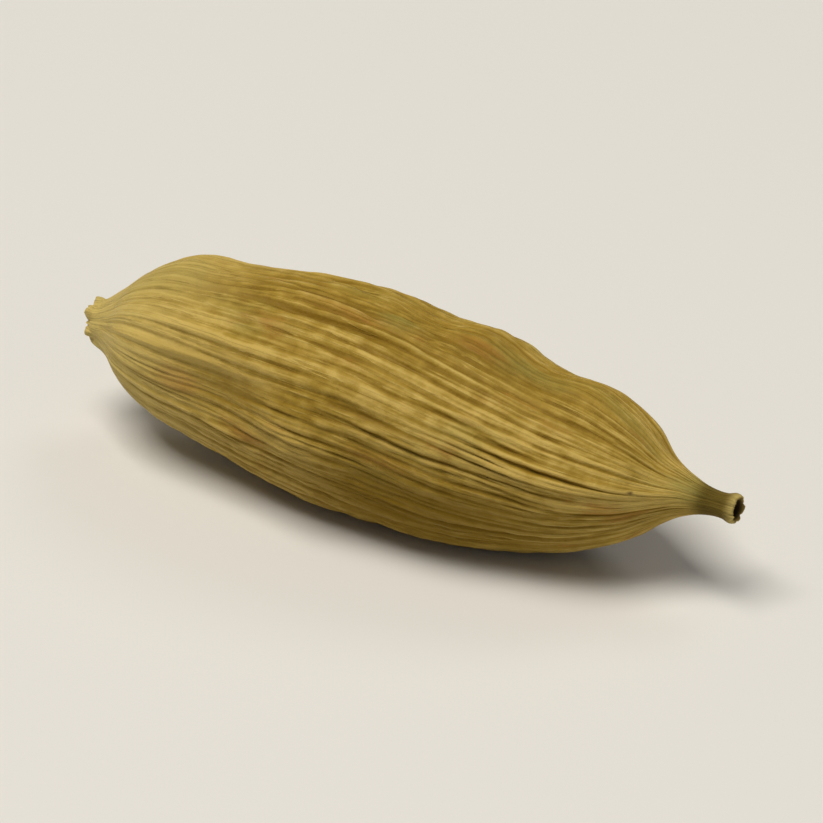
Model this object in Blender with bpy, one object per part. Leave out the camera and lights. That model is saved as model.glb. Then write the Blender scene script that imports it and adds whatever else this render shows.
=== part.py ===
"""A dried green cardamom pod, lying on a small flat spot of its husk.

The pod is one dry capsule that grew as one piece: a ribbed husk, the scar of its stalk at one end and
the short open beak, left by the flower, at the other. It is modelled in metres with +Z up. +X runs
from the stalk scar to the beak, and the origin is under the middle of the pod, on the surface it lies on.

A place on the husk has two coordinates. Its station counts the points of the outline, from the pit of
the scar to the bottom of the beak's mouth. Its roll is an angle round the pod, from the front (-Y) over
the top (+Z) to the back. Each point of the outline holds x, the radius, and how far the middle of the
section there lies above and behind the straight line between the pod's ends.
"""

import math

import bmesh
import bpy
from mathutils import Vector, noise

MM = 0.001

# Driving dimensions
LENGTH = 22.4 * MM
BELLY_RADIUS = 3.38 * MM
SCAR_RADIUS = 0.6 * MM
SCAR_PIT_DEPTH = 0.22 * MM
BEAK_LENGTH = 1.75 * MM
BEAK_RADIUS = 0.41 * MM
BEAK_LIP_WIDTH = 0.12 * MM
MOUTH_DEPTH = 0.9 * MM
REST_CUT = 0.36 * MM

# The husk between the scar and the beak: share of the length, share of the belly's radius, rise, shift back
BODY_OUTLINE = (
    (0.040, 0.31, 0.12 * MM, 0.07 * MM),
    (0.075, 0.53, 0.25 * MM, 0.09 * MM),
    (0.126, 0.70, 0.32 * MM, 0.09 * MM),
    (0.210, 0.83, 0.28 * MM, 0.05 * MM),
    (0.320, 0.94, 0.17 * MM, 0.02 * MM),
    (0.450, 1.00, 0.02 * MM, 0.0),
    (0.580, 0.97, -0.16 * MM, -0.04 * MM),
    (0.700, 0.83, -0.24 * MM, -0.05 * MM),
    (0.790, 0.67, -0.24 * MM, 0.0),
    (0.845, 0.50, -0.19 * MM, 0.02 * MM),
    (0.888, 0.30, -0.14 * MM, 0.05 * MM),
)
SCAR_SHIFT = (0.02 * MM, 0.05 * MM)

# Shares of the length between which the husk's relief rises past the scar, and falls before the beak
RELIEF_RISE = (0.02, 0.13)
RELIEF_FALL = (0.84, 0.93)

# Three keels make the husk a rounded triangle in section, and they turn with the ribs towards the beak
KEELS = 3
KEEL_ROLL = math.radians(42)
KEEL_SWELL = 0.045
KEEL_EDGE = 0.14 * MM
KEEL_EDGE_WIDTH = math.radians(8)
TWIST = math.radians(-20)
TWIST_STRETCH = (0.36, 1.0)

# Ribs run the whole length, three columns of points to a rib: two on its rounded top and one in its groove
RIBS = 44
COLUMNS_PER_RIB = 3
RIB_HEIGHT = 0.17 * MM
RIB_SHARPNESS = 1.2
RIB_MEAN_STRENGTH = 0.72
RIB_STRENGTH_CHANGE = 0.75
RIB_WEAKEST = 0.15
RIB_PATCH_LENGTH = 5 * MM
RIB_END_RISE = (-0.02, 0.08)
RIB_END_FALL = (0.9, 1.01)
RIB_SHARE_AT_ENDS = 0.15
RIB_WANDER = math.radians(3.5)
RIB_WANDER_LENGTH = 8 * MM
NEXT_RIB_NOISE = 3.7

# Hollows and swellings where the husk shrank on its seeds:
# share of the length, roll, height, half length, half width
DENTS = (
    (0.275, math.radians(14), -0.34 * MM, 1.8 * MM, 1.1 * MM),
    (0.520, math.radians(122), -0.20 * MM, 1.1 * MM, 1.9 * MM),
    (0.590, math.radians(112), 0.12 * MM, 0.9 * MM, 1.6 * MM),
    (0.680, math.radians(120), -0.22 * MM, 1.1 * MM, 1.7 * MM),
    (0.770, math.radians(105), 0.22 * MM, 1.3 * MM, 1.6 * MM),
    (0.130, math.radians(110), 0.24 * MM, 1.3 * MM, 1.8 * MM),
    (0.380, math.radians(200), -0.28 * MM, 2.2 * MM, 1.3 * MM),
    (0.640, math.radians(215), -0.22 * MM, 1.5 * MM, 1.2 * MM),
    (0.480, math.radians(45), 0.12 * MM, 2.4 * MM, 1.5 * MM),
)
LUMP_HEIGHT = 0.13 * MM
LUMP_LENGTH = 3.6 * MM

# Rows of faces between one point of the outline and the next
ROWS_IN_BODY = 3
ROWS_AT_ENDS = 1


def scar_outline():
    """Points from the middle of the scar's pit out over its rim."""
    return [
        Vector((SCAR_PIT_DEPTH, 0.0, *SCAR_SHIFT)),
        Vector((0.6 * SCAR_PIT_DEPTH, 0.45 * SCAR_RADIUS, *SCAR_SHIFT)),
        Vector((0.0, 0.78 * SCAR_RADIUS, *SCAR_SHIFT)),
        Vector((0.45 * SCAR_RADIUS, SCAR_RADIUS, *SCAR_SHIFT)),
    ]


def body_outline():
    """Points along the husk between the scar and the beak."""
    return [
        Vector((share * LENGTH, swell * BELLY_RADIUS, rise, back))
        for share, swell, rise, back in BODY_OUTLINE
    ]


def beak_outline():
    """Points along the beak to the outside of its lip."""
    root = LENGTH - BEAK_LENGTH
    return [
        Vector((root, 1.6 * BEAK_RADIUS, 0.0, 0.0)),
        Vector((root + 0.35 * BEAK_LENGTH, 1.1 * BEAK_RADIUS, 0.0, 0.0)),
        Vector((root + 0.75 * BEAK_LENGTH, 0.97 * BEAK_RADIUS, 0.0, 0.0)),
        Vector((LENGTH - BEAK_LIP_WIDTH, 1.14 * BEAK_RADIUS, 0.0, 0.0)),
    ]


def mouth_outline():
    """Points from the end of the beak's lip down to the bottom of its mouth."""
    return [
        Vector((LENGTH, 0.95 * BEAK_RADIUS, 0.0, 0.0)),
        Vector((LENGTH - BEAK_LIP_WIDTH, 0.7 * BEAK_RADIUS, 0.0, 0.0)),
        Vector((LENGTH - 0.7 * MOUTH_DEPTH, 0.5 * BEAK_RADIUS, 0.0, 0.0)),
        Vector((LENGTH - MOUTH_DEPTH, 0.0, 0.0, 0.0)),
    ]


def tangent(before, point, after):
    """The slope at a point of a smooth curve through its neighbours, whatever their distances."""
    gap_before = (point - before).length
    gap_after = (after - point).length
    pull_before = (point - before) * (gap_after / gap_before)
    pull_after = (after - point) * (gap_before / gap_after)
    return (pull_before + pull_after) / (gap_before + gap_after)


def smooth_point(points, station):
    """The place at a station of a curve that runs smoothly through the points."""
    first = min(int(station), len(points) - 2)
    share = station - first
    start, end = points[first], points[first + 1]
    before = points[first - 1] if first else start * 2 - end
    after = points[first + 2] if first + 2 < len(points) else end * 2 - start
    gap = (end - start).length
    squared, cubed = share**2, share**3
    return (
        start * (2 * cubed - 3 * squared + 1)
        + tangent(before, start, end) * gap * (cubed - 2 * squared + share)
        + end * (3 * squared - 2 * cubed)
        + tangent(start, end, after) * gap * (cubed - squared)
    )


def ease(low, high, value):
    """0 at and below low, 1 at and above high, and a smooth rise between them."""
    share = max(0.0, min(1.0, (value - low) / (high - low)))
    return share * share * (3 - 2 * share)


def angle_between(first, second):
    """The signed smallest turn from the second angle to the first."""
    return (first - second + math.pi) % math.tau - math.pi


def body_share(x):
    """1 along the husk's body, falling smoothly to 0 at the scar and on the beak."""
    along = x / LENGTH
    return ease(*RELIEF_RISE, along) * (1 - ease(*RELIEF_FALL, along))


def twist(x):
    """How far keels and ribs have turned at x: not at all near the scar, and most on the beak."""
    return TWIST * ease(*TWIST_STRETCH, x / LENGTH)


def keel_height(x, roll, radius):
    """How far the three keels lift the husk, and how far the flanks between them sink."""
    from_keel = (roll - KEEL_ROLL - twist(x)) % (math.tau / KEELS)
    from_keel = min(from_keel, math.tau / KEELS - from_keel)
    swell = KEEL_SWELL * radius * math.cos(KEELS * from_keel)
    edge = KEEL_EDGE * math.exp(-((from_keel / KEEL_EDGE_WIDTH) ** 2))
    return (swell + edge) * body_share(x)


def dent_height(x, roll, radius):
    """How far hollows, swellings and soft lumps move the husk in or out."""
    place = Vector((x, radius * math.cos(roll), radius * math.sin(roll))) / LUMP_LENGTH
    height = LUMP_HEIGHT * noise.noise(place)
    for share, dent_roll, depth, half_length, half_width in DENTS:
        along = (x - share * LENGTH) / half_length
        across = angle_between(roll, dent_roll) * radius / half_width
        height += depth * math.exp(-(along**2) - across**2)
    return height * body_share(x)


def rib_height(x, column, radius):
    """The height of a rib over the grooves beside it, which changes along each rib."""
    rib, across = divmod(column / COLUMNS_PER_RIB, 1)
    profile = math.sin(math.pi * across) ** RIB_SHARPNESS
    place = Vector((rib * NEXT_RIB_NOISE, x / RIB_PATCH_LENGTH, 0.0))
    strength = RIB_MEAN_STRENGTH + RIB_STRENGTH_CHANGE * noise.noise(place)
    strength = max(RIB_WEAKEST, strength) * min(1.0, radius / BELLY_RADIUS)
    along = x / LENGTH
    middle = ease(*RIB_END_RISE, along) * (1 - ease(*RIB_END_FALL, along))
    return RIB_HEIGHT * profile * strength * (RIB_SHARE_AT_ENDS + (1 - RIB_SHARE_AT_ENDS) * middle)


def column_roll(x, column):
    """The roll of a column of faces, which turns and wanders a little as the ribs do."""
    even = math.tau * column / (RIBS * COLUMNS_PER_RIB)
    place = Vector((math.cos(even), math.sin(even), x / RIB_WANDER_LENGTH))
    return even + twist(x) + RIB_WANDER * noise.noise(place) * body_share(x)


def husk_point(outline, last_outside, station, column):
    """The place in space of one station and column of the husk."""
    x, radius, rise, back = smooth_point(outline, station)
    radius = max(radius, 0.0)
    roll = column_roll(x, column)
    if station <= last_outside and radius > 0:
        relief = keel_height(x, roll, radius) + dent_height(x, roll, radius)
        radius += relief + rib_height(x, column, radius)
    return Vector((x, back - radius * math.cos(roll), rise + radius * math.sin(roll)))


def row_stations(first_body, last_body, last):
    """The stations of the rows of faces, closest together along the body."""
    stations = []
    for span in range(last):
        rows = ROWS_IN_BODY if first_body <= span < last_body else ROWS_AT_ENDS
        stations += [span + row / rows for row in range(rows)]
    return stations + [last]


def shape_husk(mesh):
    """Turns a sphere with one row of points for each station into the husk."""
    scar, body = scar_outline(), body_outline()
    outside = scar + body + beak_outline()
    outline = outside + mouth_outline()
    stations = row_stations(len(scar) - 1, len(scar + body), len(outline) - 1)
    columns = RIBS * COLUMNS_PER_RIB
    bm = bmesh.new()
    bmesh.ops.create_uvsphere(bm, u_segments=columns, v_segments=len(stations) - 1, radius=1.0)
    for vertex in bm.verts:
        from_pole = math.acos(max(-1.0, min(1.0, -vertex.co.z)))
        row = round(from_pole / math.pi * (len(stations) - 1))
        column = round(math.atan2(vertex.co.x, vertex.co.y) / math.tau * columns) % columns
        vertex.co = husk_point(outline, len(outside) - 1, stations[row], column)
    bm.to_mesh(mesh)
    bm.free()


def lay_down(mesh):
    """Flattens the lowest strip of the belly and puts the origin under the middle of the pod."""
    floor = min(vertex.co.z for vertex in mesh.vertices) + REST_CUT
    for vertex in mesh.vertices:
        vertex.co.z = max(vertex.co.z, floor)
    xs = [vertex.co.x for vertex in mesh.vertices]
    ys = [vertex.co.y for vertex in mesh.vertices]
    middle = Vector(((min(xs) + max(xs)) / 2, (min(ys) + max(ys)) / 2, floor))
    for vertex in mesh.vertices:
        vertex.co -= middle


def husk_material():
    """Dry, faintly waxy olive-tan husk."""
    material = bpy.data.materials.new("dry_husk")
    material.use_nodes = True
    shader = material.node_tree.nodes["Principled BSDF"]
    shader.inputs["Base Color"].default_value = (0.36, 0.25, 0.06, 1.0)
    shader.inputs["Roughness"].default_value = 0.6
    shader.inputs["Metallic"].default_value = 0.0
    return material


def clear_scene():
    """Removes whatever the scene holds."""
    for obj in list(bpy.data.objects):
        bpy.data.objects.remove(obj)


def build():
    """Makes the pod in a collection of its own."""
    clear_scene()
    collection = bpy.data.collections.new("cardamom_pod")
    bpy.context.scene.collection.children.link(collection)
    mesh = bpy.data.meshes.new("cardamom_pod")
    shape_husk(mesh)
    lay_down(mesh)
    mesh.shade_smooth()
    mesh.materials.append(husk_material())
    collection.objects.link(bpy.data.objects.new("cardamom_pod", mesh))


build()
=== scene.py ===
"""The looks of a dried green cardamom pod that lies on a pale floor.

The husk is one fine mesh over the same outline, keels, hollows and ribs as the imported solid, in metres,
with the creases, forks and crumpled ends that the plain solid leaves out. A place on it has two
coordinates. Its station counts the points of the outline, from the pit of the stalk's scar to the bottom
of the beak's mouth. Its roll is an angle round the pod, from the front (-Y) over the top (+Z) to the
back. Each point of the outline holds x, the radius, and how far the middle of the section there lies
above and behind the straight line between the pod's ends. Columns of faces start evenly spaced, at even
angles, and their roll departs from those as the ribs turn and wander.
"""

import math

import bmesh
import bpy
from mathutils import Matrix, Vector, noise


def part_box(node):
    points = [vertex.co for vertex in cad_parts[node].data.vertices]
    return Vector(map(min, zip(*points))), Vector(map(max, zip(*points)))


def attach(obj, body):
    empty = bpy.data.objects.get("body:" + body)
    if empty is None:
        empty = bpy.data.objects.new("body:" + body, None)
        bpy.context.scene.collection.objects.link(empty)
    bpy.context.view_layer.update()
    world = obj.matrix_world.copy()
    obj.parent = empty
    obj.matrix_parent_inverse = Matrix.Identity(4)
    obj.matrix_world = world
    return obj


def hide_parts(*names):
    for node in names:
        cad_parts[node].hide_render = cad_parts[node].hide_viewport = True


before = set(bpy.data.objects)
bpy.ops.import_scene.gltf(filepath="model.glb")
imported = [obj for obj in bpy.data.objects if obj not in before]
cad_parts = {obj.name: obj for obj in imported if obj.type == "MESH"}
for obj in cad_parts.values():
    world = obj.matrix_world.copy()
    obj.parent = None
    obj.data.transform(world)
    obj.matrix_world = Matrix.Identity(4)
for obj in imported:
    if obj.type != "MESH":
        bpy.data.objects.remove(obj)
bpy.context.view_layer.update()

NODE = "cardamom_pod"
LOW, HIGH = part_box(NODE)
MM = 0.001

# Driving dimensions, the same as the solid's
LENGTH = HIGH.x - LOW.x
BELLY_RADIUS = 3.38 * MM
SCAR_RADIUS = 0.6 * MM
SCAR_PIT_DEPTH = 0.22 * MM
BEAK_LENGTH = 1.75 * MM
BEAK_RADIUS = 0.41 * MM
BEAK_LIP_WIDTH = 0.12 * MM
MOUTH_DEPTH = 0.9 * MM

# The scar from the middle of its pit out over its rim: x, radius
SCAR_POINTS = (
    (SCAR_PIT_DEPTH, 0.0),
    (0.6 * SCAR_PIT_DEPTH, 0.45 * SCAR_RADIUS),
    (0.0, 0.78 * SCAR_RADIUS),
    (0.45 * SCAR_RADIUS, SCAR_RADIUS),
)
SCAR_RISE = 0.02 * MM
SCAR_BACK = 0.05 * MM

# The husk between the scar and the beak: share of the length, share of the belly's radius, rise, shift back
BODY_POINTS = (
    (0.040, 0.31, 0.12 * MM, 0.07 * MM),
    (0.075, 0.53, 0.25 * MM, 0.09 * MM),
    (0.126, 0.70, 0.32 * MM, 0.09 * MM),
    (0.210, 0.83, 0.28 * MM, 0.05 * MM),
    (0.320, 0.94, 0.17 * MM, 0.02 * MM),
    (0.450, 1.00, 0.02 * MM, 0.0),
    (0.580, 0.97, -0.16 * MM, -0.04 * MM),
    (0.700, 0.83, -0.24 * MM, -0.05 * MM),
    (0.790, 0.67, -0.24 * MM, 0.0),
    (0.845, 0.50, -0.19 * MM, 0.02 * MM),
    (0.888, 0.30, -0.14 * MM, 0.05 * MM),
)

# The beak to the outside of its lip: distance from its root, radius
BEAK_POINTS = (
    (0.0, 1.6 * BEAK_RADIUS),
    (0.35 * BEAK_LENGTH, 1.1 * BEAK_RADIUS),
    (0.75 * BEAK_LENGTH, 0.97 * BEAK_RADIUS),
    (BEAK_LENGTH - BEAK_LIP_WIDTH, 1.14 * BEAK_RADIUS),
)

# The mouth from the end of the lip down to its bottom: depth, radius
MOUTH_POINTS = (
    (0.0, 0.95 * BEAK_RADIUS),
    (BEAK_LIP_WIDTH, 0.7 * BEAK_RADIUS),
    (0.7 * MOUTH_DEPTH, 0.5 * BEAK_RADIUS),
    (MOUTH_DEPTH, 0.0),
)

# The lip's edge lies halfway between the last point outside and the first one of the mouth
OUTSIDE_POINTS = len(SCAR_POINTS) + len(BODY_POINTS) + len(BEAK_POINTS)
LIP_STATION = OUTSIDE_POINTS - 0.5

# Shares of the length between which the husk's relief rises past the scar, and falls before the beak
RELIEF_RISE = (0.02, 0.13)
RELIEF_FALL = (0.84, 0.93)

# Three keels make the husk a rounded triangle in section, and they turn with the ribs towards the beak.
# They swell by a share of the radius, and have soft edges
KEELS = 3
KEEL_ROLL = math.radians(42)
KEEL_SWELL = 0.045
KEEL_EDGE = 0.14 * MM
KEEL_EDGE_WIDTH = math.radians(8)
TWIST = math.radians(-20)
TWIST_STRETCH = (0.36, 1.0)

# Rounded ribs run the whole length. RIB_MIDDLE is where a rib's crest lies across it, as a share
RIBS = 44
RIB_HEIGHT = 0.17 * MM
RIB_SHARPNESS = 0.9
RIB_MIDDLE = 0.5

# Each rib's height changes along it, by its own strip of a noise
RIB_MEAN_STRENGTH = 0.72
RIB_STRENGTH_CHANGE = 0.75
RIB_WEAKEST = 0.15
RIB_PATCH_LENGTH = 5 * MM
RIB_SEED = 0.0
NEXT_RIB_NOISE = 3.7

# Ribs die out at the pod's ends, between these shares of the length, and wander a little sideways
RIB_END_RISE = (-0.02, 0.08)
RIB_END_FALL = (0.9, 1.01)
RIB_SHARE_AT_ENDS = 0.15
RIB_WANDER = math.radians(3.5)
RIB_WANDER_LENGTH = 8 * MM

# Hollows and swellings where the husk shrank on its seeds:
# share of the length, roll, height, half length, half width
DENTS = (
    (0.275, math.radians(14), -0.34 * MM, 1.8 * MM, 1.1 * MM),
    (0.520, math.radians(122), -0.20 * MM, 1.1 * MM, 1.9 * MM),
    (0.590, math.radians(112), 0.12 * MM, 0.9 * MM, 1.6 * MM),
    (0.680, math.radians(120), -0.22 * MM, 1.1 * MM, 1.7 * MM),
    (0.770, math.radians(105), 0.22 * MM, 1.3 * MM, 1.6 * MM),
    (0.130, math.radians(110), 0.24 * MM, 1.3 * MM, 1.8 * MM),
    (0.380, math.radians(200), -0.28 * MM, 2.2 * MM, 1.3 * MM),
    (0.640, math.radians(215), -0.22 * MM, 1.5 * MM, 1.2 * MM),
    (0.480, math.radians(45), 0.12 * MM, 2.4 * MM, 1.5 * MM),
)
LUMP_HEIGHT = 0.13 * MM
LUMP_LENGTH = 3.6 * MM

# The fineness of the mesh: columns round the pod, and the length of a row along it. Rows are shorter on
# the spans of the scar, and on those that lead to the lip and down into the mouth
COLUMNS = 440
ROW_LENGTH = 0.136 * MM
END_ROW_LENGTH = 0.06 * MM
SCAR_SPANS = len(SCAR_POINTS)
FIRST_LIP_SPAN = OUTSIDE_POINTS - 2

# Noise stretched along the fibres: times it changes round the pod, its length, its seed
JOG_NOISE = (8.0, 2.4 * MM, 3.0)
SWELL_NOISE = (6.0, 3.0 * MM, 5.0)
RIPPLE_NOISE = (16.0, 0.7 * MM, 7.0)
CRINKLE_NOISE = (9.0, 0.42 * MM, 9.0)
CREASE_NOISES = ((9.0, 9.0 * MM, 11.0), (18.0, 6.0 * MM, 23.0))

# How far the ribs jog sideways, in ribs; where grooves fill up; and where a rib forks
RIB_JOG = 0.28
GROOVE_PATCH_LENGTH = 5.5 * MM
GROOVE_SEED = 51.3
GROOVE_FILL = 0.9
FORK_PATCH_LENGTH = 6.5 * MM
FORK_SEED = 87.9
FORK_DEPTH = 0.5
FORK_WIDTH = 0.12
FORK_RISE = (-0.12, 0.22)

# Forking creases follow the lines where a noise is zero: half width in noise, depth
CREASES = ((0.07, 0.055 * MM), (0.10, 0.035 * MM))
SWELL_HEIGHT = 0.035 * MM
RIPPLE_HEIGHT = 0.035 * MM
CRINKLE_HEIGHT = 0.03 * MM

# Where the wrinkles are deeper or nearly gone: share of the length, roll, change, half length, half width
WRINKLE_PATCHES = (
    (0.275, math.radians(14), -0.85, 1.8 * MM, 1.1 * MM),
    (0.070, math.radians(50), -0.55, 1.9 * MM, 3.0 * MM),
    (0.690, math.radians(27), 0.8, 2.6 * MM, 1.1 * MM),
    (0.600, math.radians(-4), -0.25, 4.0 * MM, 1.8 * MM),
    (0.370, math.radians(76), 0.15, 2.8 * MM, 0.9 * MM),
    (0.720, math.radians(95), -0.4, 3.0 * MM, 1.8 * MM),
)
FEWEST_WRINKLES = 0.05

# Single crests and grooves that stand out, which turn with the ribs:
# share of the length, roll before the turn, height, half length, half width
LINES = (
    (0.036, math.radians(95), 0.13 * MM, 0.5 * MM, 0.9 * MM),
    (0.210, math.radians(29), 0.11 * MM, 2.3 * MM, 0.15 * MM),
    (0.220, math.radians(22), -0.05 * MM, 2.0 * MM, 0.12 * MM),
    (0.400, math.radians(73), -0.13 * MM, 2.4 * MM, 0.13 * MM),
    (0.385, math.radians(93), -0.12 * MM, 2.2 * MM, 0.15 * MM),
    (0.370, math.radians(84), 0.05 * MM, 2.0 * MM, 0.15 * MM),
    (0.315, math.radians(58), 0.06 * MM, 1.8 * MM, 0.20 * MM),
    (0.460, math.radians(33.5), -0.08 * MM, 2.2 * MM, 0.12 * MM),
    (0.390, math.radians(0), 0.10 * MM, 1.2 * MM, 0.60 * MM),
    (0.590, math.radians(25.5), 0.11 * MM, 2.8 * MM, 0.11 * MM),
    (0.510, math.radians(31.5), -0.05 * MM, 1.2 * MM, 0.10 * MM),
    (0.620, math.radians(37), 0.09 * MM, 2.6 * MM, 0.16 * MM),
    (0.680, math.radians(47), -0.07 * MM, 1.3 * MM, 0.10 * MM),
    (0.740, math.radians(42), -0.06 * MM, 1.2 * MM, 0.10 * MM),
    (0.780, math.radians(35), 0.08 * MM, 2.6 * MM, 0.14 * MM),
    (0.690, math.radians(52), 0.08 * MM, 2.0 * MM, 0.14 * MM),
    (0.850, math.radians(44), 0.06 * MM, 1.6 * MM, 0.12 * MM),
    (0.855, math.radians(26), 0.07 * MM, 1.4 * MM, 0.13 * MM),
    (0.865, math.radians(12), -0.06 * MM, 1.2 * MM, 0.13 * MM),
)

# The tone of the wrinkles, above 0 on pale crests and below 0 in dark grooves and creases: partly the
# husk's own colour, partly a painted highlight on the crests and painted shade in the grooves and creases
RIB_MEAN_PROFILE = 0.6
TONE_OF_WEAK_RIB = 0.3
TONE_HEIGHT = 0.09 * MM
TONE_LIMIT = 1.5
LINE_TONE_HEIGHT = 0.11 * MM

# The pod is darkest at this share of its length, and paler towards its tips, by this much at the scar
DARKEST_SHARE = 0.45
TIP_TONE = 0.42

# Paler and darker areas, partly the husk's own tone and partly painted highlights and painted shade: share
# of the length, roll, change of tone, half length, half width
TONE_LIGHT_AND_SHADE_PATCHES = (
    (0.280, math.radians(43), 0.35, 3.0 * MM, 1.1 * MM),
    (0.200, math.radians(32), 0.45, 2.0 * MM, 0.9 * MM),
    (0.260, math.radians(80), -0.50, 3.0 * MM, 1.0 * MM),
    (0.380, math.radians(-13), 0.80, 2.6 * MM, 0.9 * MM),
    (0.590, math.radians(47), 0.40, 2.0 * MM, 0.8 * MM),
    (0.695, math.radians(32), 0.55, 1.4 * MM, 0.6 * MM),
    (0.620, math.radians(94), -0.55, 3.8 * MM, 1.5 * MM),
    (0.130, math.radians(72), -0.30, 1.2 * MM, 1.2 * MM),
    (0.450, math.radians(185), 0.35, 3.0 * MM, 1.2 * MM),
)

# Stains: share of the length, roll, strength, half length, half width
RUST_STAINS = (
    (0.195, math.radians(8), 1.2, 0.9 * MM, 0.5 * MM),
    (0.315, math.radians(-10), 0.8, 1.0 * MM, 0.4 * MM),
    (0.600, math.radians(96), 0.75, 1.2 * MM, 0.5 * MM),
    (0.420, math.radians(82), 0.7, 1.8 * MM, 0.4 * MM),
    (0.530, math.radians(10), 0.6, 1.5 * MM, 0.4 * MM),
    (0.700, math.radians(195), 0.9, 1.2 * MM, 0.6 * MM),
    (0.300, math.radians(240), 0.8, 1.6 * MM, 0.7 * MM),
)
MOSS_STAINS = (
    (0.480, math.radians(90), 0.7, 1.0 * MM, 0.7 * MM),
    (0.660, math.radians(106), 0.5, 1.4 * MM, 0.7 * MM),
    (0.945, math.radians(60), 0.8, 0.9 * MM, 0.9 * MM),
    (0.350, math.radians(150), 0.5, 1.8 * MM, 0.9 * MM),
    (0.760, math.radians(-90), 0.7, 2.0 * MM, 0.9 * MM),
)
# Painted shade, not a stain: brown laid in the deep dent near the scar end; columns as above
SHADE_IN_HOLLOW = ((0.275, math.radians(14), 0.4, 2.0 * MM, 1.2 * MM),)
DARK_SPECKS = (
    (0.868, math.radians(25), 0.8, 0.11 * MM, 0.07 * MM),
    (0.330, math.radians(170), 0.8, 0.12 * MM, 0.1 * MM),
    (0.610, math.radians(-70), 0.8, 0.15 * MM, 0.09 * MM),
)

# The brown lower front side, partly a browner husk and partly painted shade: its roll, its half width, and
# the shares of the length where it comes in and goes out
FLANK_ROLL = math.radians(-18)
FLANK_WIDTH = math.radians(36)
FLANK_START = (0.28, 0.54)
FLANK_END = (0.62, 0.90)

# Where the paints of the pod's ends lie: the shoulder and the beak by the share of the length, the others
# by stations, and the pit by its middle and half width
SHOULDER_END = (0.02, 0.32)
SCAR_END = (2.6, 4.4)
PIT = (0.6, 0.9)
BEAK_START = (0.93, 0.955)
MOUTH_START = (LIP_STATION + 0.4, LIP_STATION + 1.6)

# The torn rim of the scar: its station, its half width in stations, and the height of its flaps, with
# the lobes that noise makes round it, and a share of finer ones
SCAR_RIM = 2.3
SCAR_RIM_WIDTH = 1.1
SCAR_LOBES = 1.7
SCAR_FLAP = 0.22 * MM
SCAR_FLAP_SEED = 1.0
FINE_FLAP_SHARE = 0.5
FINER_LOBES = 3

# How far the rim flares out, and how fast that changes from one station to the next
SCAR_FLARE = 0.28 * MM
FLARE_LOBES = 1.6 * SCAR_LOBES
FLARE_SEED = 5.0
FLARE_CHANGE = 0.8

# A knob on the top of the rim
KNOB_ROLL = math.radians(100)
KNOB_WIDTH = math.radians(38)
KNOB_HEIGHT = 0.20 * MM

# The beak's uneven lip: the half width of its rim in stations, and how far it stands out
LIP_WIDTH = 0.8
LIP_LOBES = 2.2
LIP_FLAP = 0.12 * MM
LIP_SEED = 2.0
FINE_LIP_SHARE = 0.4
FINE_LIP_SEED = 4.0

# Colours of the husk; those of the grooves and crests hold painted shade and a painted highlight besides
# their own colour
GROOVE_AND_SHADE = (0.232, 0.138, 0.014, 1)
HUSK = (0.355, 0.229, 0.034, 1)
CREST_AND_HIGHLIGHT = (0.550, 0.388, 0.100, 1)
RUST = (0.330, 0.150, 0.022, 1)
MOSS = (0.240, 0.225, 0.055, 1)
BROWN = (0.192, 0.110, 0.002, 1)
PALE = (0.610, 0.470, 0.150, 1)
DARK_BEAK = (0.090, 0.056, 0.003, 1)
# Painted shade: near black for the inside of the beak's mouth
MOUTH_SHADE = (0.040, 0.022, 0.007, 1)
SPECK = (0.055, 0.030, 0.010, 1)

# Fibre textures, in changes round the pod and along it; the grain in changes per metre
STREAKS = (20.0, 20.0, 5.0)
FINE_STREAKS = (36.0, 36.0, 9.0)
VEINS = (14.0, 14.0, 3.5)
CRINKLES = (9.0, 9.0, 62.0)
BLOTCHES = (1.3, 1.3, 5.0)
RUST_SPOTS = (2.9, 2.9, 10.0)
SPECKS = (13.0, 13.0, 62.0)
GRAIN_SCALE = 9000.0
NOISE_DETAIL = 3.0
NOISE_MIDDLE = 0.5

# How much each texture changes the tone; veins only make it paler
TEXTURE_TONES = {"streak": 0.7, "fine": 1.6, "crinkle": 1.2}
VEIN_TONE = 0.6

# Ramps: the values between which they run, and what they give at both ends where that isn't 0 and 1
GROOVE_TO_HUSK = (-0.95, 0.1)
HUSK_TO_CREST = (-0.15, 0.9)
VEIN_EDGE = (0.0, 0.02, 1.0, 0.0)
MOSSY_BLOTCH = (0.54, 0.74, 0.0, 0.35)
BROWN_BLOTCH = (0.26, 0.46, 0.25, 0.0)
FLANK_STREAKS = (0.2, 0.75, 1.0, 0.7)
MOSS_STREAKS = (0.25, 0.7, 0.45, 1.0)
MOSS_COVER = (0.1, 0.8, 0.0, 0.6)
RUST_STREAKS = (0.3, 0.65, 0.5, 1.0)
RUST_SCATTER = (0.53, 0.76, 0.0, 0.8)
RUST_COVER = (0.1, 0.8, 0.0, 0.7)
SPECK_SCATTER = (0.74, 0.82)
SPECK_COVER = (0.25, 0.8, 0.0, 0.8)
ROUGHNESS = (0.3, 0.7, 0.62, 0.48)

# Paints of the pod's ends, the lowest first: layer, colour, the texture that breaks it up, its ramp
END_PAINTS = (
    ("shoulder", PALE, "streak", (0.25, 0.7, 0.4, 0.95)),
    ("scar", PALE, "fine", (0.32, 0.5, 0.35, 1.0)),
    ("pit", BROWN, "fine", (0.4, 0.6, 0.9, 0.3)),
    ("beak", DARK_BEAK, "streak", (0.25, 0.75, 1.0, 0.7)),
    ("lip", PALE, "fine", (0.3, 0.55, 0.45, 1.0)),
)

# Gloss and the finest relief
SPECULAR = 0.1
VEIN_RELIEF = 0.5
BUMP_STRENGTH = 0.85
BUMP_DISTANCE = 0.03 * MM

# The photograph's viewing angle, and a long lens that shows the pod across most of the frame
VIEW_AZIMUTH = 28.0
VIEW_ELEVATION = 33.0
LENS = 400.0
SENSOR = 36.0
FRAME_WIDTH = 25.2 * MM
CLIP_START = 1 * MM

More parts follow.
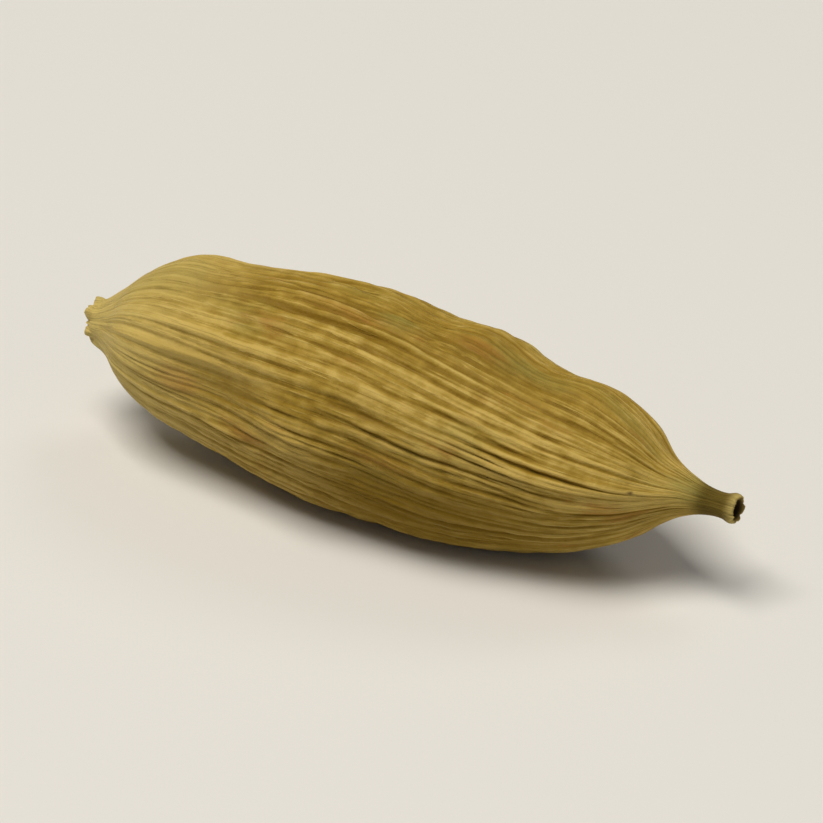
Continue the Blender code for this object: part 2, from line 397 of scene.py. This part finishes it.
# Soft square lights: azimuth, elevation, distance, size, power in watts, colour
LIGHTS = {
    "key": (-30.0, 73.0, 0.5, 0.26, 2.42, (1.0, 0.96, 0.88)),
    "fill": (75.0, 30.0, 0.5, 0.4, 0.12, (0.95, 0.97, 1.0)),
    "rim": (165.0, 50.0, 0.5, 0.2, 0.28, (1.0, 0.98, 0.95)),
}
SKY = (0.93, 0.95, 1.0, 1)
SKY_STRENGTH = 0.12
FLOOR_COLOUR = (0.73, 0.715, 0.685, 1)
FLOOR_ROUGHNESS = 0.7
FLOOR_HALF_WIDTH = 1.0


def scar_outline():
    """Points from the middle of the scar's pit out over its rim."""
    return [Vector((x, radius, SCAR_RISE, SCAR_BACK)) for x, radius in SCAR_POINTS]


def body_outline():
    """Points along the husk between the scar and the beak."""
    return [
        Vector((share * LENGTH, swell * BELLY_RADIUS, rise, back))
        for share, swell, rise, back in BODY_POINTS
    ]


def beak_outline():
    """Points along the beak to the outside of its lip."""
    root = LENGTH - BEAK_LENGTH
    return [Vector((root + along, radius, 0.0, 0.0)) for along, radius in BEAK_POINTS]


def mouth_outline():
    """Points from the end of the beak's lip down to the bottom of its mouth."""
    return [Vector((LENGTH - depth, radius, 0.0, 0.0)) for depth, radius in MOUTH_POINTS]


OUTLINE = scar_outline() + body_outline() + beak_outline() + mouth_outline()


def tangent(before, point, after):
    """The slope at a point of a smooth curve through its neighbours, whatever their distances."""
    gap_before = (point - before).length
    gap_after = (after - point).length
    pull_before = (point - before) * (gap_after / gap_before)
    pull_after = (after - point) * (gap_before / gap_after)
    return (pull_before + pull_after) / (gap_before + gap_after)


def smooth_point(points, station):
    """The place at a station of a curve that runs smoothly through the points."""
    first = min(int(station), len(points) - 2)
    share = station - first
    start, end = points[first], points[first + 1]
    before = points[first - 1] if first else start * 2 - end
    after = points[first + 2] if first + 2 < len(points) else end * 2 - start
    gap = (end - start).length
    squared, cubed = share**2, share**3
    return (
        start * (2 * cubed - 3 * squared + 1)
        + tangent(before, start, end) * gap * (cubed - 2 * squared + share)
        + end * (3 * squared - 2 * cubed)
        + tangent(start, end, after) * gap * (cubed - squared)
    )


def ease(low, high, value):
    """0 at and below low, 1 at and above high, and a smooth rise between them."""
    share = max(0.0, min(1.0, (value - low) / (high - low)))
    return share * share * (3 - 2 * share)


def bell(value, middle, half_width):
    """1 in the middle, falling smoothly to nothing on both sides."""
    return math.exp(-(((value - middle) / half_width) ** 2))


def angle_between(first, second):
    """The signed smallest turn from the second angle to the first."""
    return (first - second + math.pi) % math.tau - math.pi


def body_share(x):
    """1 along the husk's body, falling smoothly to 0 at the scar and on the beak."""
    along = x / LENGTH
    return ease(*RELIEF_RISE, along) * (1 - ease(*RELIEF_FALL, along))


def flank_brown_and_shade_share(roll, along):
    """How far the lower front side is browned, partly as painted shade, at a roll and a share of the
    length.
    """
    across = bell(angle_between(roll, FLANK_ROLL), 0.0, FLANK_WIDTH)
    return across * ease(*FLANK_START, along) * (1 - ease(*FLANK_END, along))


def end_share(x):
    """1 along most of the pod, falling towards its ends, where the ribs die out."""
    along = x / LENGTH
    middle = ease(*RIB_END_RISE, along) * (1 - ease(*RIB_END_FALL, along))
    return RIB_SHARE_AT_ENDS + (1 - RIB_SHARE_AT_ENDS) * middle


def twist(x):
    """How far keels and ribs have turned at x: not at all near the scar, and most on the beak."""
    return TWIST * ease(*TWIST_STRETCH, x / LENGTH)


def keel_height(x, roll, radius):
    """How far the three keels lift the husk, and how far the flanks between them sink."""
    from_keel = (roll - KEEL_ROLL - twist(x)) % (math.tau / KEELS)
    from_keel = min(from_keel, math.tau / KEELS - from_keel)
    swell = KEEL_SWELL * radius * math.cos(KEELS * from_keel)
    edge = KEEL_EDGE * bell(from_keel, 0.0, KEEL_EDGE_WIDTH)
    return (swell + edge) * body_share(x)


def patch_sum(patches, x, roll, radius):
    """The sum of soft round patches at a place, each with its own height."""
    total = 0.0
    for share, patch_roll, height, half_length, half_width in patches:
        along = (x - share * LENGTH) / half_length
        across = angle_between(roll, patch_roll) * radius / half_width
        total += height * math.exp(-(along**2) - across**2)
    return total


def dent_height(x, roll, radius):
    """How far hollows, swellings and soft lumps move the husk in or out."""
    place = Vector((x, radius * math.cos(roll), radius * math.sin(roll))) / LUMP_LENGTH
    height = LUMP_HEIGHT * noise.noise(place) + patch_sum(DENTS, x, roll, radius)
    return height * body_share(x)


def fibre_noise(x, even, around, length, seed):
    """Noise stretched along the fibres."""
    return noise.noise(Vector((around * math.cos(even), around * math.sin(even) + seed, x / length)))


def line_noise(line, x, length, seed):
    """Noise along one rib or groove, which repeats after a full turn round the pod."""
    return noise.noise(Vector(((line % RIBS) * NEXT_RIB_NOISE, x / length, seed)))


def rib_relief(x, even):
    """The height of rounded ribs between thin grooves that fork or fill up, and their tone."""
    place = even / math.tau * RIBS + RIB_JOG * fibre_noise(x, even, *JOG_NOISE)
    rib, across = divmod(place, 1)
    profile = math.sin(math.pi * across) ** RIB_SHARPNESS
    top = RIB_MEAN_STRENGTH + RIB_STRENGTH_CHANGE * line_noise(rib, x, RIB_PATCH_LENGTH, RIB_SEED)
    top = max(RIB_WEAKEST, top)
    fork = ease(*FORK_RISE, line_noise(rib, x, FORK_PATCH_LENGTH, FORK_SEED))
    split = FORK_DEPTH * fork * bell(across, RIB_MIDDLE, FORK_WIDTH)
    fill = max(0.0, line_noise(round(place), x, GROOVE_PATCH_LENGTH, GROOVE_SEED))
    height = profile * (top - split) + (1 - profile) * GROOVE_FILL * fill
    # Pale on crests and dark in grooves and forks, partly as painted highlight and painted shade
    tone = (profile - RIB_MEAN_PROFILE) * (TONE_OF_WEAK_RIB + top) - split + (1 - profile) * fill
    return RIB_HEIGHT * height, tone


def crease_depth(x, even):
    """The depth of the forking creases at a place."""
    return sum(
        deepest * bell(fibre_noise(x, even, *shape), 0.0, half_width)
        for shape, (half_width, deepest) in zip(CREASE_NOISES, CREASES)
    )


def wrinkle_relief(x, even, roll, radius):
    """The height of ribs, creases, ripples and single lines together, and their tone."""
    height, tone = rib_relief(x, even)
    crease = crease_depth(x, even)
    ripple = RIPPLE_HEIGHT * fibre_noise(x, even, *RIPPLE_NOISE)
    ripple += CRINKLE_HEIGHT * fibre_noise(x, even, *CRINKLE_NOISE)
    swell = SWELL_HEIGHT * fibre_noise(x, even, *SWELL_NOISE)
    crowding = min(1.0, radius / BELLY_RADIUS)
    patches = max(FEWEST_WRINKLES, 1 + patch_sum(WRINKLE_PATCHES, x, roll, radius))
    line = patch_sum(LINES, x, roll - twist(x), radius)
    height = (height - crease + ripple + swell) * crowding * end_share(x) * patches + line
    # Ripples and raised lines are painted paler, creases and sunk lines darker: partly painted highlight
    # and painted shade
    tone = (tone + (ripple - crease) / TONE_HEIGHT) * min(TONE_LIMIT, patches)
    # Patches of painted highlight and painted shade, partly the husk's own tone
    tone += line / LINE_TONE_HEIGHT + patch_sum(TONE_LIGHT_AND_SHADE_PATCHES, x, roll, radius)
    return height, tone + TIP_TONE * (x / LENGTH / DARKEST_SHARE - 1) ** 2


def column_roll(x, even):
    """The roll of a column of faces, which turns and wanders a little as the ribs do."""
    place = Vector((math.cos(even), math.sin(even), x / RIB_WANDER_LENGTH))
    return even + twist(x) + RIB_WANDER * noise.noise(place) * body_share(x)


def lobe_noise(even, lobes, seed):
    """Noise that runs round the pod's end."""
    return noise.noise(Vector((lobes * math.cos(even), lobes * math.sin(even), seed)))


def scar_tear(station, even, roll):
    """How far the scar's torn flaps stand out along the pod, and how far from its middle."""
    rim = bell(station, SCAR_RIM, SCAR_RIM_WIDTH)
    flap = lobe_noise(even, SCAR_LOBES, SCAR_FLAP_SEED)
    flap += FINE_FLAP_SHARE * lobe_noise(even, FINER_LOBES * SCAR_LOBES, station)
    flare = SCAR_FLARE * lobe_noise(even, FLARE_LOBES, FLARE_SEED + FLARE_CHANGE * station)
    knob = KNOB_HEIGHT * bell(angle_between(roll, KNOB_ROLL), 0.0, KNOB_WIDTH)
    return rim * SCAR_FLAP * flap, rim * (flare + knob)


def lip_tear(station, even):
    """How far the uneven lip of the beak stands out along the pod."""
    ragged = lobe_noise(even, LIP_LOBES, LIP_SEED)
    ragged += FINE_LIP_SHARE * lobe_noise(even, FINER_LOBES * LIP_LOBES, FINE_LIP_SEED)
    return LIP_FLAP * bell(station, LIP_STATION, LIP_WIDTH) * ragged


def husk_point(centre, station, even):
    """The place in space of one station and column of the husk, and the tone of its wrinkles."""
    x, radius, rise, back = centre
    radius = max(radius, 0.0)
    roll = column_roll(x, even)
    tone = 0.0
    if station < OUTSIDE_POINTS and radius > 0:
        height, tone = wrinkle_relief(x, even, roll, radius)
        radius += keel_height(x, roll, radius) + dent_height(x, roll, radius) + height
    flap, flare = scar_tear(station, even, roll)
    radius += flare * min(1.0, radius / SCAR_RADIUS)
    x += lip_tear(station, even) - flap
    return Vector((x, back - radius * math.cos(roll), rise + radius * math.sin(roll))), tone


def row_stations():
    """The stations of the rows of faces, evenly spaced along each span, closest at the pod's ends."""
    stations = []
    for span, (start, end) in enumerate(zip(OUTLINE, OUTLINE[1:])):
        at_end = span < SCAR_SPANS or span >= FIRST_LIP_SPAN
        rows = max(1, round((end - start).length / (END_ROW_LENGTH if at_end else ROW_LENGTH)))
        stations += [span + row / rows for row in range(rows)]
    return stations + [len(OUTLINE) - 1]


def paint_layers(station, x, roll, radius):
    """Shares of the paints that belong to places of the husk, by the names of the mesh's layers."""
    along = x / LENGTH
    return {
        "scar": 1 - ease(*SCAR_END, station),
        "pit": bell(station, *PIT),
        "shoulder": 1 - ease(*SHOULDER_END, along),
        "beak": ease(*BEAK_START, along) * (station < OUTSIDE_POINTS),
        "lip": bell(station, LIP_STATION, LIP_WIDTH),
        "mouth": ease(*MOUTH_START, station),
        "hollow_shade": patch_sum(SHADE_IN_HOLLOW, x, roll, radius),
        "flank_brown_and_shade": flank_brown_and_shade_share(roll, along),
        "rust": patch_sum(RUST_STAINS, x, roll, radius),
        "moss": patch_sum(MOSS_STAINS, x, roll, radius),
        "speck": patch_sum(DARK_SPECKS, x, roll, radius),
    }


def row_and_column(place, rows):
    """The row and the column that a point of the sphere belongs to."""
    from_pole = math.acos(max(-1.0, min(1.0, -place.z)))
    row = round(from_pole / math.pi * (rows - 1))
    column = round(math.atan2(place.x, place.y) / math.tau * COLUMNS) % COLUMNS
    return row, column


def shape_husk(mesh):
    """Turns a sphere with one row of points for each station into the husk."""
    stations = row_stations()
    centres = [smooth_point(OUTLINE, station) for station in stations]
    sphere = bmesh.new()
    bmesh.ops.create_uvsphere(sphere, u_segments=COLUMNS, v_segments=len(stations) - 1, radius=1.0)
    tone = sphere.verts.layers.float.new("tone")
    fibre = sphere.verts.layers.float_vector.new("fibre")
    names = paint_layers(0.0, 0.0, 0.0, 0.0)
    layers = {name: sphere.verts.layers.float.new(name) for name in names}
    for vertex in sphere.verts:
        row, column = row_and_column(vertex.co, len(stations))
        even = math.tau * column / COLUMNS
        x, radius = centres[row][:2]
        vertex.co, vertex[tone] = husk_point(centres[row], stations[row], even)
        vertex[fibre] = (math.cos(even), math.sin(even), x / LENGTH)
        paints = paint_layers(stations[row], x, column_roll(x, even), radius)
        for name, share in paints.items():
            vertex[layers[name]] = share
    sphere.to_mesh(mesh)
    sphere.free()


def lay_down(mesh):
    """Puts the husk where the solid lies, and presses flat what would reach below the floor."""
    ys = [vertex.co.y for vertex in mesh.vertices]
    top = max(vertex.co.z for vertex in mesh.vertices)
    shift = Vector((LOW.x, (LOW.y + HIGH.y - min(ys) - max(ys)) / 2, HIGH.z - top))
    for vertex in mesh.vertices:
        vertex.co += shift
        vertex.co.z = max(vertex.co.z, LOW.z)


def socket(tree, value, target):
    """Links a socket to another, or sets a plain value on it."""
    if isinstance(value, bpy.types.NodeSocket):
        tree.links.new(value, target)
    else:
        target.default_value = value


def attribute(tree, name, output="Fac"):
    """A layer of the husk's mesh."""
    node = tree.nodes.new("ShaderNodeAttribute")
    node.attribute_name = name
    return node.outputs[output]


def spots(tree, place, scale):
    """A soft noise between 0 and 1."""
    node = tree.nodes.new("ShaderNodeTexNoise")
    node.inputs["Scale"].default_value = scale
    node.inputs["Detail"].default_value = NOISE_DETAIL
    tree.links.new(place, node.inputs["Vector"])
    return node.outputs["Fac"]


def streaks(tree, fibre, stretch):
    """A soft noise between 0 and 1, stretched along the fibres."""
    node = tree.nodes.new("ShaderNodeMapping")
    node.inputs["Scale"].default_value = stretch
    tree.links.new(fibre, node.inputs["Vector"])
    return spots(tree, node.outputs["Vector"], 1.0)


def ramp(tree, value, low, high, to_low=0.0, to_high=1.0):
    """A smooth step of a value from one range to another."""
    node = tree.nodes.new("ShaderNodeMapRange")
    node.interpolation_type = "SMOOTHSTEP"
    socket(tree, value, node.inputs["Value"])
    node.inputs["From Min"].default_value = low
    node.inputs["From Max"].default_value = high
    node.inputs["To Min"].default_value = to_low
    node.inputs["To Max"].default_value = to_high
    return node.outputs["Result"]


def calculate(tree, operation, *values):
    """Values put together."""
    node = tree.nodes.new("ShaderNodeMath")
    node.operation = operation
    for value, target in zip(values, node.inputs):
        socket(tree, value, target)
    return node.outputs[0]


def blend(tree, share, below, above):
    """One colour laid over another."""
    node = tree.nodes.new("ShaderNodeMix")
    node.data_type = "RGBA"
    factor, _, _, _, _, _, first, second = node.inputs[:8]
    _, _, result = node.outputs[:3]
    socket(tree, share, factor)
    socket(tree, below, first)
    socket(tree, above, second)
    return result


def broken_up(tree, layer, texture, edges):
    """A layer of the husk's mesh, broken up by a texture."""
    return calculate(tree, "MULTIPLY", attribute(tree, layer), ramp(tree, texture, *edges))


def husk_textures(tree, fibre):
    """The streaks, fine streaks, crinkles and veins of the husk."""
    from_vein = calculate(tree, "SUBTRACT", streaks(tree, fibre, VEINS), NOISE_MIDDLE)
    return {
        "streak": streaks(tree, fibre, STREAKS),
        "fine": streaks(tree, fibre, FINE_STREAKS),
        "crinkle": streaks(tree, fibre, CRINKLES),
        "vein": ramp(tree, calculate(tree, "ABSOLUTE", from_vein), *VEIN_EDGE),
    }


def husk_colour(tree, fibre, textures):
    """Dark grooves and pale crests, partly painted shade and a painted highlight, and pale veins, with
    streaks, crinkles and blotches.
    """
    tone = attribute(tree, "tone")
    for name, weight in TEXTURE_TONES.items():
        tone = calculate(tree, "MULTIPLY_ADD", textures[name], weight, tone)
    tone = calculate(tree, "SUBTRACT", tone, NOISE_MIDDLE * sum(TEXTURE_TONES.values()))
    tone = calculate(tree, "MULTIPLY_ADD", textures["vein"], VEIN_TONE, tone)
    colour = blend(tree, ramp(tree, tone, *GROOVE_TO_HUSK), GROOVE_AND_SHADE, HUSK)
    colour = blend(tree, ramp(tree, tone, *HUSK_TO_CREST), colour, CREST_AND_HIGHLIGHT)
    blotch = streaks(tree, fibre, BLOTCHES)
    colour = blend(tree, ramp(tree, blotch, *MOSSY_BLOTCH), colour, MOSS)
    return blend(tree, ramp(tree, blotch, *BROWN_BLOTCH), colour, BROWN)


def stained_and_shaded(tree, colour, fibre, textures):
    """Brown on the lower front side, partly a browner husk and partly painted shade, painted shade in the
    dent, rusty and greenish stains with streaky edges, and dark specks.
    """
    # The lower front side: partly a browner husk, partly painted shade
    flank_brown_and_shade = broken_up(tree, "flank_brown_and_shade", textures["streak"], FLANK_STREAKS)
    colour = blend(tree, flank_brown_and_shade, colour, BROWN)
    # Painted shade in the dent
    colour = blend(tree, attribute(tree, "hollow_shade"), colour, BROWN)
    moss = broken_up(tree, "moss", textures["streak"], MOSS_STREAKS)
    colour = blend(tree, ramp(tree, moss, *MOSS_COVER), colour, MOSS)
    scattered = ramp(tree, streaks(tree, fibre, RUST_SPOTS), *RUST_SCATTER)
    rust = calculate(tree, "MAXIMUM", attribute(tree, "rust"), scattered)
    rust = calculate(tree, "MULTIPLY", rust, ramp(tree, textures["fine"], *RUST_STREAKS))
    colour = blend(tree, ramp(tree, rust, *RUST_COVER), colour, RUST)
    scattered = ramp(tree, streaks(tree, fibre, SPECKS), *SPECK_SCATTER)
    speck = calculate(tree, "MAXIMUM", attribute(tree, "speck"), scattered)
    return blend(tree, ramp(tree, speck, *SPECK_COVER), colour, SPECK)


def end_colours(tree, colour, textures):
    """The pale scar and shoulder, the dark band of the beak, its pale lip, and painted shade inside its
    mouth.
    """
    for layer, paint, texture, edges in END_PAINTS:
        share = broken_up(tree, layer, textures[texture], edges)
        colour = blend(tree, share, colour, paint)
    # Painted shade inside the beak's mouth
    return blend(tree, attribute(tree, "mouth"), colour, MOUTH_SHADE)


def fine_relief(tree, textures):
    """A normal that shows fine fibres, crinkles, veins and grain."""
    place = tree.nodes.new("ShaderNodeTexCoord").outputs["Object"]
    height = calculate(tree, "ADD", textures["fine"], spots(tree, place, GRAIN_SCALE))
    height = calculate(tree, "ADD", height, textures["crinkle"])
    height = calculate(tree, "MULTIPLY_ADD", textures["vein"], VEIN_RELIEF, height)
    bump = tree.nodes.new("ShaderNodeBump")
    bump.inputs["Strength"].default_value = BUMP_STRENGTH
    bump.inputs["Distance"].default_value = BUMP_DISTANCE
    tree.links.new(height, bump.inputs["Height"])
    return bump.outputs["Normal"]


def husk_material():
    """Dry olive-tan husk with fine fibres and a faint waxy gloss."""
    material = bpy.data.materials.new("dry_husk")
    material.use_nodes = True
    tree = material.node_tree
    shader = tree.nodes["Principled BSDF"]
    fibre = attribute(tree, "fibre", "Vector")
    textures = husk_textures(tree, fibre)
    colour = husk_colour(tree, fibre, textures)
    colour = stained_and_shaded(tree, colour, fibre, textures)
    colour = end_colours(tree, colour, textures)
    tree.links.new(colour, shader.inputs["Base Color"])
    tree.links.new(ramp(tree, textures["streak"], *ROUGHNESS), shader.inputs["Roughness"])
    tree.links.new(fine_relief(tree, textures), shader.inputs["Normal"])
    shader.inputs["Specular IOR Level"].default_value = SPECULAR
    return material


def make_husk():
    """The whole pod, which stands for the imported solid."""
    mesh = bpy.data.meshes.new("husk")
    shape_husk(mesh)
    lay_down(mesh)
    mesh.shade_smooth()
    mesh.materials.append(husk_material())
    husk = bpy.data.objects.new("husk", mesh)
    bpy.context.scene.collection.objects.link(husk)
    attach(husk, "root")
    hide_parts(NODE)


def direction(azimuth, elevation):
    """The way from the pod towards a viewer: 0 degrees is the front, and 90 degrees the beak's side."""
    azimuth, elevation = math.radians(azimuth), math.radians(elevation)
    level = math.cos(elevation)
    return Vector((math.sin(azimuth) * level, -math.cos(azimuth) * level, math.sin(elevation)))


def place_looking(name, data, way, distance):
    """Puts a camera or a light at a distance from the pod's middle, turned towards it."""
    thing = bpy.data.objects.new(name, data)
    bpy.context.scene.collection.objects.link(thing)
    thing.location = (LOW + HIGH) / 2 + way * distance
    thing.rotation_euler = way.to_track_quat("Z", "Y").to_euler()
    return thing


def make_camera():
    """A camera far away, with the pod's middle in the middle of its picture."""
    data = bpy.data.cameras.new("camera")
    data.lens = LENS
    data.sensor_width = SENSOR
    data.clip_start = CLIP_START
    way = direction(VIEW_AZIMUTH, VIEW_ELEVATION)
    bpy.context.scene.camera = place_looking("camera", data, way, FRAME_WIDTH * LENS / SENSOR)


def make_lights():
    """Soft studio light, strongest from the upper left of the picture."""
    for name, (azimuth, elevation, distance, size, power, colour) in LIGHTS.items():
        data = bpy.data.lights.new(name, "AREA")
        data.size = size
        data.energy = power
        data.color = colour
        place_looking(name, data, direction(azimuth, elevation), distance)


def make_floor():
    """A plain pale floor under the pod."""
    mesh = bpy.data.meshes.new("floor")
    sheet = bmesh.new()
    bmesh.ops.create_grid(sheet, x_segments=1, y_segments=1, size=FLOOR_HALF_WIDTH)
    sheet.to_mesh(mesh)
    sheet.free()
    material = bpy.data.materials.new("floor")
    material.use_nodes = True
    shader = material.node_tree.nodes["Principled BSDF"]
    shader.inputs["Base Color"].default_value = FLOOR_COLOUR
    shader.inputs["Roughness"].default_value = FLOOR_ROUGHNESS
    mesh.materials.append(material)
    floor = bpy.data.objects.new("floor", mesh)
    bpy.context.scene.collection.objects.link(floor)


def make_sky():
    """Even pale light from all sides, in a picture that shows colours as they are."""
    world = bpy.data.worlds.new("sky")
    world.use_nodes = True
    background = world.node_tree.nodes["Background"]
    background.inputs["Color"].default_value = SKY
    background.inputs["Strength"].default_value = SKY_STRENGTH
    bpy.context.scene.world = world
    bpy.context.scene.view_settings.view_transform = "Standard"


make_husk()
make_camera()
make_lights()
make_floor()
make_sky()
